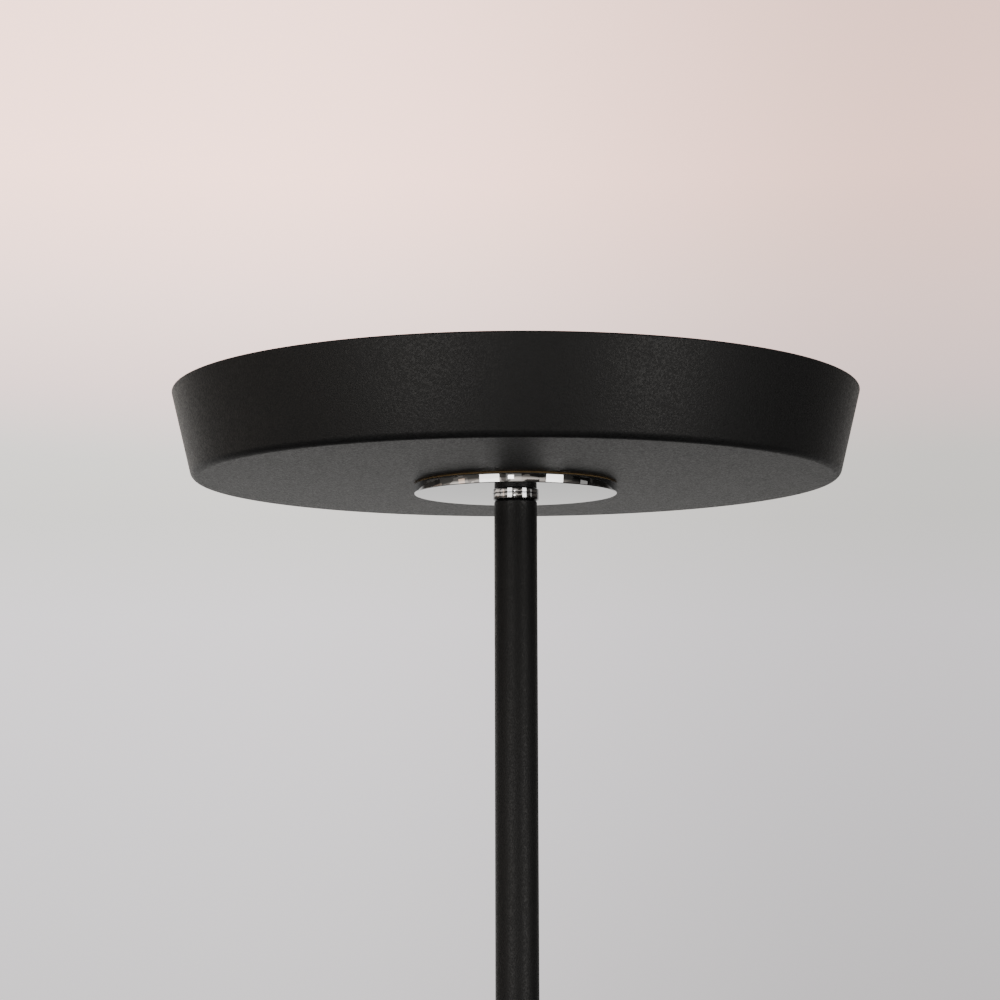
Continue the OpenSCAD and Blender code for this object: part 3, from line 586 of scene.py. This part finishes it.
class Workshop:
    """Holds the two node trees that make pieces, and turns their results into plain meshes."""

    def __init__(self) -> None:
        """Builds both trees once."""
        self.turned = self._turned_tree()
        self.ring = self._ring_tree()

    @staticmethod
    def _new_tree(name: str, inputs: Sequence[Tuple[str, str]]) -> Tuple[Tree, Node, Node]:
        """Makes an empty geometry tree.

        Args:
            name: the tree's name.
            inputs: each input's name and socket type, after the geometry.

        Returns:
            The tree, its input node and its output node.
        """
        tree = bpy.data.node_groups.new(name, "GeometryNodeTree")
        face = tree.interface
        face.new_socket("Geometry", in_out="INPUT", socket_type="NodeSocketGeometry")
        for label, kind in inputs:
            face.new_socket(label, in_out="INPUT", socket_type=kind)
        face.new_socket("Geometry", in_out="OUTPUT", socket_type="NodeSocketGeometry")
        return tree, tree.nodes.new("NodeGroupInput"), tree.nodes.new("NodeGroupOutput")

    @staticmethod
    def _end(tree: Tree, shape: Socket, material: Socket, exit_node: Node) -> None:
        """Ends a tree: real geometry, with its material."""
        real = add_node(
            tree, "GeometryNodeRealizeInstances", inputs={"Geometry": shape}
        ).outputs["Geometry"]
        dressed = add_node(
            tree, "GeometryNodeSetMaterial", inputs={"Geometry": real, "Material": material}
        ).outputs["Geometry"]
        tree.links.new(dressed, exit_node.inputs["Geometry"])

    def _turned_tree(self) -> Tree:
        """Makes the tree that turns an outline about the Z axis, as a lathe does.

        A grid has a column for each angle and a row for each point of the outline. Each of its
        points takes its row's place on the outline and turns by its column's angle.
        """
        tree, given, exit_node = self._new_tree(
            "turned_about_z",
            [
                ("Segments", "NodeSocketInt"),
                ("Sharp Angle", "NodeSocketFloat"),
                ("Material", "NodeSocketMaterial"),
            ],
        )
        outline = given.outputs["Geometry"]
        segments = given.outputs["Segments"]
        rows = add_node(
            tree, "GeometryNodeAttributeDomainSize", inputs={"Geometry": outline}
        ).outputs["Point Count"]
        columns = add_node(
            tree, "ShaderNodeMath", {"operation": "ADD"}, {0: segments, 1: 1.0}
        ).outputs[0]
        grid = add_node(
            tree, "GeometryNodeMeshGrid", inputs={"Vertices X": columns, "Vertices Y": rows}
        ).outputs["Mesh"]
        index = add_node(tree, "GeometryNodeInputIndex").outputs[0]
        share = add_node(
            tree, "ShaderNodeMath", {"operation": "DIVIDE"}, {0: index, 1: rows}
        ).outputs[0]
        column = add_node(tree, "ShaderNodeMath", {"operation": "FLOOR"}, {0: share}).outputs[0]
        row = add_node(
            tree, "ShaderNodeMath", {"operation": "MODULO"}, {0: index, 1: rows}
        ).outputs[0]
        position = add_node(tree, "GeometryNodeInputPosition").outputs[0]
        sampled = add_node(
            tree,
            "GeometryNodeSampleIndex",
            {"data_type": "FLOAT_VECTOR", "domain": "POINT"},
            {"Geometry": outline, "Value": position, "Index": row},
        ).outputs[0]
        step = add_node(
            tree, "ShaderNodeMath", {"operation": "DIVIDE"}, {0: 2 * math.pi, 1: segments}
        ).outputs[0]
        angle = add_node(
            tree, "ShaderNodeMath", {"operation": "MULTIPLY"}, {0: column, 1: step}
        ).outputs[0]
        place = add_node(
            tree,
            "ShaderNodeVectorRotate",
            {"rotation_type": "Z_AXIS"},
            {"Vector": sampled, "Angle": angle},
        ).outputs[0]
        moved = add_node(
            tree, "GeometryNodeSetPosition", inputs={"Geometry": grid, "Position": place}
        ).outputs[0]
        closed = add_node(
            tree, "GeometryNodeMergeByDistance", inputs={"Geometry": moved, "Distance": WELD}
        ).outputs[0]
        smooth = add_node(
            tree,
            "GeometryNodeSetShadeSmooth",
            {"domain": "FACE"},
            {"Geometry": closed, "Shade Smooth": True},
        ).outputs[0]
        fold = add_node(tree, "GeometryNodeInputMeshEdgeAngle").outputs["Unsigned Angle"]
        sharp = add_node(
            tree,
            "ShaderNodeMath",
            {"operation": "GREATER_THAN"},
            {0: fold, 1: given.outputs["Sharp Angle"]},
        ).outputs[0]
        shaded = add_node(
            tree,
            "GeometryNodeSetShadeSmooth",
            {"domain": "EDGE"},
            {"Geometry": smooth, "Selection": sharp, "Shade Smooth": False},
        ).outputs[0]
        self._end(tree, shaded, given.outputs["Material"], exit_node)
        return tree

    def _ring_tree(self) -> Tree:
        """Makes the tree that repeats a piece round the Z axis, each copy turned outwards."""
        tree, given, exit_node = self._new_tree(
            "ring_of_pieces",
            [
                ("Count", "NodeSocketInt"),
                ("Radius", "NodeSocketFloat"),
                ("Material", "NodeSocketMaterial"),
            ],
        )
        circle = add_node(
            tree,
            "GeometryNodeMeshCircle",
            inputs={"Vertices": given.outputs["Count"], "Radius": given.outputs["Radius"]},
        ).outputs["Mesh"]
        position = add_node(tree, "GeometryNodeInputPosition").outputs[0]
        place = add_node(tree, "ShaderNodeSeparateXYZ", inputs={"Vector": position})
        outwards = add_node(
            tree,
            "ShaderNodeMath",
            {"operation": "ARCTAN2"},
            {0: place.outputs["Y"], 1: place.outputs["X"]},
        ).outputs[0]
        facing = add_node(tree, "ShaderNodeCombineXYZ", inputs={"Z": outwards}).outputs[0]
        copies = add_node(
            tree,
            "GeometryNodeInstanceOnPoints",
            inputs={
                "Points": circle,
                "Instance": given.outputs["Geometry"],
                "Rotation": facing,
            },
        ).outputs["Instances"]
        self._end(tree, copies, given.outputs["Material"], exit_node)
        return tree

    @staticmethod
    def _run(name: str, mesh: Mesh, tree: Tree, values: Dict[str, Any]) -> Object:
        """Runs a tree on a mesh and keeps the result as a plain mesh.

        Args:
            name: the finished piece's name.
            mesh: what goes into the tree.
            tree: the tree to run.
            values: the tree's inputs by name.

        Returns:
            The finished piece at the origin, with no modifier.
        """
        carrier = bpy.data.objects.new(name + ".blank", mesh)
        bpy.context.scene.collection.objects.link(carrier)
        modifier = carrier.modifiers.new("make", "NODES")
        modifier.node_group = tree
        for item in tree.interface.items_tree:
            if item.in_out == "INPUT" and item.name in values:
                modifier[item.identifier] = values[item.name]
        graph = bpy.context.evaluated_depsgraph_get()
        result = bpy.data.meshes.new_from_object(carrier.evaluated_get(graph), depsgraph=graph)
        carrier.modifiers.remove(modifier)
        bpy.data.objects.remove(carrier)
        result.name = name
        piece = bpy.data.objects.new(name, result)
        bpy.context.scene.collection.objects.link(piece)
        return piece

    def turn(self, name: str, outline: Outline, finish: Material, segments: int) -> Object:
        """Turns an outline into a piece.

        Args:
            name: the piece's name.
            outline: what to turn.
            finish: the piece's material.
            segments: how many flats the circle has.

        Returns:
            The piece.
        """
        points = [(r, 0.0, z) for r, z in outline.points()]
        blank = bpy.data.meshes.new(name + ".outline")
        blank.from_pydata(points, [(i, i + 1) for i in range(len(points) - 1)], [])
        values = {"Segments": segments, "Sharp Angle": SHARP_ANGLE, "Material": finish}
        return self._run(name, blank, self.turned, values)

    def repeat(
        self, name: str, one: Object, count: int, radius: float, finish: Material
    ) -> Object:
        """Repeats a piece round the Z axis and drops the single one.

        Args:
            name: the group's name.
            one: the piece to repeat, made at the axis.
            count: how many there are.
            radius: their distance from the axis.
            finish: their material.

        Returns:
            The group as one piece.
        """
        values = {"Count": count, "Radius": radius, "Material": finish}
        group = self._run(name, one.data, self.ring, values)
        bpy.data.objects.remove(one)
        return group


# ---------- Sub-assemblies ----------


@dataclass
class SubAssembly:
    """A group of pieces: the workshop that makes them and the finishes that they get."""

    shop: Workshop
    finishes: Dict[str, Material]

    def stand_in(self, piece: Object, node: str, slot: str) -> None:
        """Puts a finished piece in a CAD node's place.

        Args:
            piece: the finished piece.
            node: the CAD node that it stands for.
            slot: the piece's material slot; not used.
        """
        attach(piece, "lamp")
        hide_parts(node)
        LOG.info("%s: %d faces", piece.name, len(piece.data.polygons))

    def turned(
        self, name: str, outline: Outline, node: str, slot: str, segments: int = 192
    ) -> None:
        """Turns a piece and puts it in a CAD node's place.

        Args:
            name: the piece's name.
            outline: what to turn.
            node: the CAD node that it stands for.
            slot: the material slot that it takes its finish from.
            segments: how many flats the circle has.
        """
        piece = self.shop.turn(name, outline, self.finishes[slot], segments)
        self.stand_in(piece, node, slot)

    def collar(self, name: str, node: str, bevel_up: bool) -> None:
        """Turns a polished collar ring with a bevel towards the pole.

        Args:
            name: the piece's name.
            node: the CAD ring that it stands for.
            bevel_up: whether the bevel is at the top.
        """
        low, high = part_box(node)
        bevel, broken_edge, soft = 0.6 * MM, 0.2 * MM, 0.12 * MM
        foot, top = (broken_edge, bevel) if bevel_up else (bevel, broken_edge)
        ring = (
            Corner(NIPPLE_HOLE_R, low.z),
            Corner(high.x - foot, low.z, soft),
            Corner(high.x, low.z + foot, soft),
            Corner(high.x, high.z - top, soft),
            Corner(high.x - top, high.z, soft),
            Corner(NIPPLE_HOLE_R, high.z),
        )
        self.turned(name, Outline(ring, steps=5), node, "polished_chrome")


@dataclass
class SpunTray:
    """The outline of a spun sheet tray that opens upwards."""

    rim_r: float
    height: float
    narrowing: float
    sheet: float
    edge_r: float
    # A share of the sheet's thickness.
    rim_rounding: float = 0.48

    def outline(self, floor_z: float) -> Outline:
        """Gives the tray's outline.

        Args:
            floor_z: height of the outside of the tray's floor.

        Returns:
            The outline.
        """
        lean = math.atan(self.narrowing / 2 / self.height)
        half = self.sheet / 2

        def wall(z: float, inside: float) -> float:
            """Radius of the wall at z above the floor, inside its outer face."""
            middle = self.rim_r - half + (z - self.height + half) * math.tan(lean)
            return middle + (half - inside) / math.cos(lean)

        top, sheet = self.height, self.sheet
        rim = sheet * self.rim_rounding
        corners = (
            Corner(NIPPLE_HOLE_R, floor_z),
            Corner(wall(0.0, 0.0), floor_z, self.edge_r),
            Corner(wall(top, 0.0), floor_z + top, rim),
            Corner(wall(top, sheet), floor_z + top, rim),
            Corner(wall(sheet, sheet), floor_z + sheet, self.edge_r - sheet),
            Corner(NIPPLE_HOLE_R, floor_z + sheet),
        )
        return Outline(corners, steps=10)


@dataclass
class Head(SubAssembly):
    """The lit head: spun shell, polished disc, collar and diffuser."""

    segments: int = 256
    narrowing: float = 15.5 * MM
    sheet: float = 1.2 * MM
    edge_r: float = 3 * MM
    rim_inset: float = 0.01 * MM
    disc_draft: float = 0.3 * MM
    disc_lower_edge: float = 0.3 * MM
    disc_bevel: float = 0.8 * MM
    diffuser_edge: float = 0.3 * MM

    def build(self) -> None:
        """Makes the head's pieces."""
        self.shell()
        self.disc()
        self.collar("head_collar_ring", "head_collar", bevel_up=False)
        self.diffuser()

    def shell(self) -> None:
        """Turns the spun steel tray."""
        low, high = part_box("head_shell")
        tray = SpunTray(
            high.x - self.rim_inset, high.z - low.z, self.narrowing, self.sheet, self.edge_r
        )
        outline = tray.outline(low.z)
        self.turned("head_tray", outline, "head_shell", "black_powder_coat", self.segments)

    def disc(self) -> None:
        """Turns the polished disc: a crisp lower edge, a slight draft and a bevel at the top."""
        low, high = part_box("mount_disc")
        r, bevel = high.x, self.disc_bevel
        corners = (
            Corner(NIPPLE_HOLE_R, low.z),
            Corner(r - self.disc_draft, low.z, self.disc_lower_edge),
            Corner(r, high.z - bevel, 0.5 * MM),
            Corner(r - bevel, high.z, 0.2 * MM),
            Corner(NIPPLE_HOLE_R, high.z),
        )
        outline = Outline(corners)
        self.turned("polished_disc", outline, "mount_disc", "polished_chrome", self.segments)

    def diffuser(self) -> None:
        """Turns the opal disc, whose edge leans as the shell's wall does."""
        low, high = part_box("diffuser")
        shell_low, shell_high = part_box("head_shell")
        lean = self.narrowing / 2 / (shell_high.z - shell_low.z) * (high.z - low.z)
        corners = (
            Corner(0.0, low.z),
            Corner(high.x - lean, low.z, self.diffuser_edge),
            Corner(high.x, high.z, self.diffuser_edge),
            Corner(0.0, high.z),
        )
        self.turned("opal_disc", Outline(corners, steps=5), "diffuser", "opal_diffuser")


@dataclass
class Pole(SubAssembly):
    """The three drawn tube sections, with a broken edge at each end."""

    segments: int = 96
    wall: float = 1 * MM
    end_edge: float = 0.4 * MM

    def build(self) -> None:
        """Makes the sections."""
        for node in ("pole_lower", "pole_middle", "pole_upper"):
            low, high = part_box(node)
            r, edge, bore = high.x, self.end_edge, high.x - self.wall
            soft = edge / 4
            corners = (
                Corner(bore, low.z),
                Corner(r - edge, low.z, soft),
                Corner(r, low.z + edge, soft),
                Corner(r, high.z - edge, soft),
                Corner(r - edge, high.z, soft),
                Corner(bore, high.z),
            )
            outline = Outline(corners, steps=4)
            self.turned(node + "_tube", outline, node, "black_powder_coat", self.segments)


@dataclass
class Base(SubAssembly):
    """The weighted base: polished collar and feet. Its pressed cover is the frame's own."""

    foot_count: int = 6
    foot_segments: int = 48
    foot_circle: float = 105 * MM
    foot_edge: float = 1.2 * MM
    foot_draft: float = 0.5 * MM
    dish_depth: float = 0.4 * MM
    # Shares of the foot's radius.
    dish_floor: float = 0.55
    dish_rim: float = 0.6
    dish_edge: float = 0.3 * MM

    def build(self) -> None:
        """Makes the base's pieces."""
        self.collar("base_collar_ring", "base_collar", bevel_up=True)
        self.feet()

    def feet(self) -> None:
        """Moulds one foot with a dished underside and sets six of them in a circle."""
        low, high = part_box("base_feet")
        foot_r = high.x - self.foot_circle
        corners = (
            Corner(0.0, low.z + self.dish_depth),
            Corner(foot_r * self.dish_floor, low.z + self.dish_depth, self.dish_edge),
            Corner(foot_r * self.dish_rim, low.z, self.dish_edge),
            Corner(foot_r - self.foot_draft, low.z, self.foot_edge),
            Corner(foot_r, high.z),
            Corner(0.0, high.z),
        )
        rubber = self.finishes["black_rubber"]
        one = self.shop.turn("foot", Outline(corners, steps=6), rubber, self.foot_segments)
        group = self.shop.repeat("rubber_feet", one, self.foot_count, self.foot_circle, rubber)
        self.stand_in(group, "base_feet", "black_rubber")


def dress_frame(finishes: Dict[str, Material]) -> None:
    """Gives every CAD node the finish of its material slot.

    Args:
        finishes: the materials by slot name.
    """
    slots = {row["node"]: row["material_slot"] for row in frame["record"]["subparts"]}
    for name, node in frame["nodes"].items():
        for place in node.material_slots:
            place.material = finishes[slots[name]]
        LOG.info("%s: %s", name, slots[name])


# ---------- Studio ----------

# In the next three, a stop's place is a direction's height: 0.5 at the horizon, 1 straight up.

# What is seen behind the lamp: neutral below the head, washed with its warm light above it.
BACKDROP: Stops = (
    (0.42, "#8F8C8D"),
    (0.475, "#989597"),
    (0.524, "#A09C9E"),
    (0.551, "#9C9A97"),
    (0.568, "#A29F9B"),
    (0.584, "#BAA7A4"),
    (0.611, "#D8BAB2"),
    (0.642, "#F6C8BA"),
    (0.69, "#EEC3B6"),
)
# The pale wall behind the lamp, as the polished pieces mirror it.
MIRRORED_WALL: Stops = (
    (0.14, "#141414"),
    (0.3, "#A3A2A0"),
    (0.4, "#DEDCD9"),
    (0.5, "#E6E4E1"),
    (0.62, "#F6EAE0"),
    (0.9, "#DCD0C4"),
)
# The dim room before the lamp, as they mirror it.
MIRRORED_ROOM: Stops = (
    (0.24, "#030303"),
    (0.38, "#151515"),
    (0.425, "#8A857F"),
    (0.452, "#A8A098"),
    (0.472, "#4A4743"),
    (0.53, "#393633"),
    (0.56, "#77716B"),
    (0.7, "#5A5651"),
    (1.0, "#8C867E"),
)


@dataclass(frozen=True)
class SoftBox:
    """A soft light: its bearing from the front in degrees, its size and its rise in metres.

    The rise is from the point that it faces. The power is in watts.
    """

    azimuth: float
    width: float
    height: float
    rise: float
    power: float
    colour: str = "#FFFBF6"


@dataclass
class Studio:
    """A plain pale floor that fades into a pale surround, soft lights and the camera.

    Lengths are in metres and angles in radians, apart from the lens and sensor in millimetres.
    """

    floor_r: float = 6.0
    floor_solid_r: float = 2.6
    floor_sides: int = 128
    floor_colour: str = "#DDDCDB"
    fill: float = 1.6
    fill_colour: str = "#F4F3F2"
    # The backdrop's brightness on the left, and on the right low down and high up.
    left_side: float = 4.1
    right_side_low: float = 2.9
    right_side_high: float = 2.1
    # The mirrored wall's brightness, and how the whole mirrored room dims from left to right.
    wall_strength: float = 1.22
    left_strength: float = 1.7
    right_strength: float = 0.3
    # The mirrored room's clutter: how fine its patches are and how much wider than tall, how
    # few of them are bright, and the range and the least of their brightness.
    clutter_scale: float = 3.4
    clutter_squeeze: float = 2.6
    clutter_power: float = 2.5
    clutter_gain: float = 2.6
    clutter_floor: float = 0.2
    camera_back: float = 0.6745
    camera_below_head: float = 0.0828
    pitch: float = math.radians(6.49)
    yaw: float = math.radians(-0.4945)
    roll: float = math.radians(-0.155)
    lens_mm: float = 65.5
    sensor_mm: float = 36.0
    nearest: float = 0.01
    light_r: float = 2.2
    aim_below_top: float = 0.03
    softboxes: Tuple[SoftBox, ...] = (
        SoftBox(-29.0, 0.88, 0.7, -0.32, 5.8),
        SoftBox(44.0, 0.78, 0.74, -0.33, 6.5),
        SoftBox(-5.0, 0.24, 0.16, -0.15, 0.7),
        SoftBox(-2.0, 0.66, 0.3, -0.15, 0.11),
        SoftBox(-62.0, 0.3, 0.3, -0.24, 0.25, "#FFD9BC"),
        SoftBox(-98.0, 0.6, 0.3, -0.24, 0.1, "#FFDFC8"),
        SoftBox(82.0, 0.4, 0.3, -0.22, 0.14),
    )

    def build(self) -> None:
        """Makes the floor, the surround, the lights and the camera."""
        self.floor()
        self.surround()
        self.lights()
        self.camera()

    def floor(self) -> None:
        """Makes a round floor whose edge and underside fade out."""
        mesh = bpy.data.meshes.new("floor")
        angles = [2 * math.pi * i / self.floor_sides for i in range(self.floor_sides)]
        ring = [(self.floor_r * math.cos(a), self.floor_r * math.sin(a), 0.0) for a in angles]
        mesh.from_pydata(ring, [], [list(range(self.floor_sides))])
        floor = bpy.data.objects.new("floor", mesh)
        bpy.context.scene.collection.objects.link(floor)
        material = bpy.data.materials.new("studio_floor")
        material.use_nodes = True
        tree = material.node_tree
        tree.nodes.clear()
        place = add_node(tree, "ShaderNodeTexCoord").outputs["Object"]
        distance = add_node(
            tree, "ShaderNodeVectorMath", {"operation": "LENGTH"}, {0: place}
        ).outputs["Value"]
        fade = add_node(
            tree,
            "ShaderNodeMapRange",
            {"interpolation_type": "SMOOTHSTEP"},
            {"Value": distance, "From Min": self.floor_solid_r, "From Max": self.floor_r},
        ).outputs["Result"]
        under = add_node(tree, "ShaderNodeNewGeometry").outputs["Backfacing"]
        gone = add_node(
            tree, "ShaderNodeMath", {"operation": "MAXIMUM"}, {0: fade, 1: under}
        ).outputs[0]
        matt = add_node(
            tree, "ShaderNodeBsdfDiffuse", inputs={"Color": linear(self.floor_colour)}
        ).outputs[0]
        clear = add_node(tree, "ShaderNodeBsdfTransparent").outputs[0]
        mixed = add_node(
            tree, "ShaderNodeMixShader", inputs={"Fac": gone, 1: matt, 2: clear}
        ).outputs[0]
        add_node(tree, "ShaderNodeOutputMaterial", inputs={"Surface": mixed})
        mesh.materials.append(material)
        floor.visible_glossy = False

    def surround(self) -> None:
        """Makes the world: the backdrop that is seen, the room that is mirrored, a soft fill."""
        world = bpy.data.worlds.new("studio")
        bpy.context.scene.world = world
        world.use_nodes = True
        tree = world.node_tree
        tree.nodes.clear()
        direction = add_node(tree, "ShaderNodeTexCoord").outputs["Generated"]
        way = add_node(tree, "ShaderNodeSeparateXYZ", inputs={"Vector": direction})
        height = add_node(
            tree,
            "ShaderNodeMath",
            {"operation": "MULTIPLY_ADD"},
            {0: way.outputs["Z"], 1: 0.5, 2: 0.5},
        ).outputs[0]
        backdrop = self.backdrop(tree, way.outputs["X"], height)
        room = self.room(tree, direction, way, height)
        fill = add_node(
            tree,
            "ShaderNodeBackground",
            inputs={"Color": linear(self.fill_colour), "Strength": self.fill},
        ).outputs[0]
        path = add_node(tree, "ShaderNodeLightPath")
        unseen = add_node(
            tree,
            "ShaderNodeMixShader",
            inputs={"Fac": path.outputs["Is Glossy Ray"], 1: fill, 2: room},
        ).outputs[0]
        mixed = add_node(
            tree,
            "ShaderNodeMixShader",
            inputs={"Fac": path.outputs["Is Camera Ray"], 1: unseen, 2: backdrop},
        ).outputs[0]
        add_node(tree, "ShaderNodeOutputWorld", inputs={"Surface": mixed})

    def backdrop(self, tree: Tree, across: Socket, height: Socket) -> Socket:
        """Paints the wall that is seen, which grows dimmer to the right, most of all high up.

        Args:
            tree: the world's node tree.
            across: the X part of the direction.
            height: the direction's height, 0.5 at the horizon and 1 straight up.

        Returns:
            The backdrop's shader.
        """
        wash = add_node(
            tree, "ShaderNodeValToRGB", {"stops": BACKDROP}, {"Fac": height}
        ).outputs["Color"]
        right_side = add_node(
            tree,
            "ShaderNodeMapRange",
            {"interpolation_type": "SMOOTHSTEP"},
            {
                "Value": height,
                "From Min": 0.545,
                "From Max": 0.64,
                "To Min": self.right_side_low,
                "To Max": self.right_side_high,
            },
        ).outputs["Result"]
        falloff = add_node(
            tree,
            "ShaderNodeMapRange",
            {"interpolation_type": "SMOOTHSTEP"},
            {
                "Value": across,
                "From Min": -0.16,
                "From Max": 0.24,
                "To Min": self.left_side,
                "To Max": right_side,
            },
        ).outputs["Result"]
        return add_node(
            tree, "ShaderNodeBackground", inputs={"Color": wash, "Strength": falloff}
        ).outputs[0]

    def room(self, tree: Tree, direction: Socket, way: Node, height: Socket) -> Socket:
        """Paints what the polished pieces mirror: the pale wall and the dim room before it.

        Args:
            tree: the world's node tree.
            direction: where a mirrored ray goes.
            way: the direction's three parts.
            height: the direction's height, 0.5 at the horizon and 1 straight up.

        Returns:
            The room's shader.
        """
        wall = add_node(
            tree, "ShaderNodeValToRGB", {"stops": MIRRORED_WALL}, {"Fac": height}
        ).outputs["Color"]
        dim = add_node(
            tree, "ShaderNodeValToRGB", {"stops": MIRRORED_ROOM}, {"Fac": height}
        ).outputs["Color"]
        behind = add_node(
            tree,
            "ShaderNodeMapRange",
            {"interpolation_type": "SMOOTHSTEP"},
            {"Value": way.outputs["Y"], "From Min": 0.54, "From Max": 0.97},
        ).outputs["Result"]
        towards_left = add_node(
            tree,
            "ShaderNodeMapRange",
            inputs={
                "Value": way.outputs["X"],
                "From Min": -1.0,
                "From Max": 1.0,
                "To Min": self.left_strength,
                "To Max": self.right_strength,
            },
        ).outputs["Result"]
        squeezed = add_node(
            tree,
            "ShaderNodeVectorMath",
            {"operation": "MULTIPLY"},
            {0: direction, 1: (1.0, 1.0, self.clutter_squeeze)},
        ).outputs["Vector"]
        clutter = add_node(
            tree,
            "ShaderNodeTexVoronoi",
            {"distance": "CHEBYCHEV"},
            {"Vector": squeezed, "Scale": self.clutter_scale},
        ).outputs["Color"]
        shade = add_node(tree, "ShaderNodeSeparateColor", inputs={"Color": clutter}).outputs[0]
        steep = add_node(
            tree, "ShaderNodeMath", {"operation": "POWER"}, {0: shade, 1: self.clutter_power}
        ).outputs[0]
        contrast = add_node(
            tree,
            "ShaderNodeMath",
            {"operation": "MULTIPLY_ADD"},
            {0: steep, 1: self.clutter_gain, 2: self.clutter_floor},
        ).outputs[0]
        patchy = add_node(
            tree, "ShaderNodeMath", {"operation": "MULTIPLY"}, {0: towards_left, 1: contrast}
        ).outputs[0]
        washed = add_node(
            tree,
            "ShaderNodeMath",
            {"operation": "MULTIPLY"},
            {0: towards_left, 1: self.wall_strength},
        ).outputs[0]
        dim_light = add_node(
            tree, "ShaderNodeBackground", inputs={"Color": dim, "Strength": patchy}
        ).outputs[0]
        wall_light = add_node(
            tree, "ShaderNodeBackground", inputs={"Color": wall, "Strength": washed}
        ).outputs[0]
        return add_node(
            tree, "ShaderNodeMixShader", inputs={"Fac": behind, 1: dim_light, 2: wall_light}
        ).outputs[0]

    def lights(self) -> None:
        """Hangs the soft boxes round the lamp, each facing its head."""
        aim = Vector((0.0, 0.0, cad_high.z - self.aim_below_top))
        for box in self.softboxes:
            angle = math.radians(box.azimuth)
            data = bpy.data.lights.new("softbox", "AREA")
            data.shape = "RECTANGLE"
            data.size = box.width
            data.size_y = box.height
            data.energy = box.power
            data.color = linear(box.colour)[:3]
            light = bpy.data.objects.new("softbox", data)
            across, back = self.light_r * math.sin(angle), -self.light_r * math.cos(angle)
            light.location = (across, back, aim.z + box.rise)
            light.rotation_mode = "QUATERNION"
            light.rotation_quaternion = (light.location - aim).to_track_quat("Z", "Y")
            light.visible_camera = False
            bpy.context.scene.collection.objects.link(light)

    def camera(self) -> None:
        """Sets the camera low in front of the head, looking a little up."""
        head_low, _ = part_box("head_shell")
        place = Vector((0.0, -self.camera_back, head_low.z - self.camera_below_head))
        level_part = math.cos(self.pitch)
        ahead = Vector(
            (
                math.sin(self.yaw) * level_part,
                math.cos(self.yaw) * level_part,
                math.sin(self.pitch),
            )
        )
        level = ahead.cross(Vector((0, 0, 1))).normalized()
        upright = level.cross(ahead)
        right = math.cos(self.roll) * level + math.sin(self.roll) * upright
        up = right.cross(ahead)
        data = bpy.data.cameras.new("camera")
        data.lens = self.lens_mm
        data.sensor_width = self.sensor_mm
        data.clip_start = self.nearest
        camera = bpy.data.objects.new("camera", data)
        turn = Matrix((right, up, -ahead)).transposed().to_4x4()
        camera.matrix_world = Matrix.Translation(place) @ turn
        bpy.context.scene.collection.objects.link(camera)
        bpy.context.scene.camera = camera


def main() -> None:
    """Builds the studio and the lamp in order."""
    logging.basicConfig(level=logging.INFO, format="%(name)s: %(message)s")
    Studio().build()
    finishes = {finish.name: finish.build() for finish in FINISHES}
    dress_frame(finishes)
    shop = Workshop()
    for assembly in (Head(shop, finishes), Pole(shop, finishes), Base(shop, finishes)):
        assembly.build()


if __name__ == "__main__":
    main()
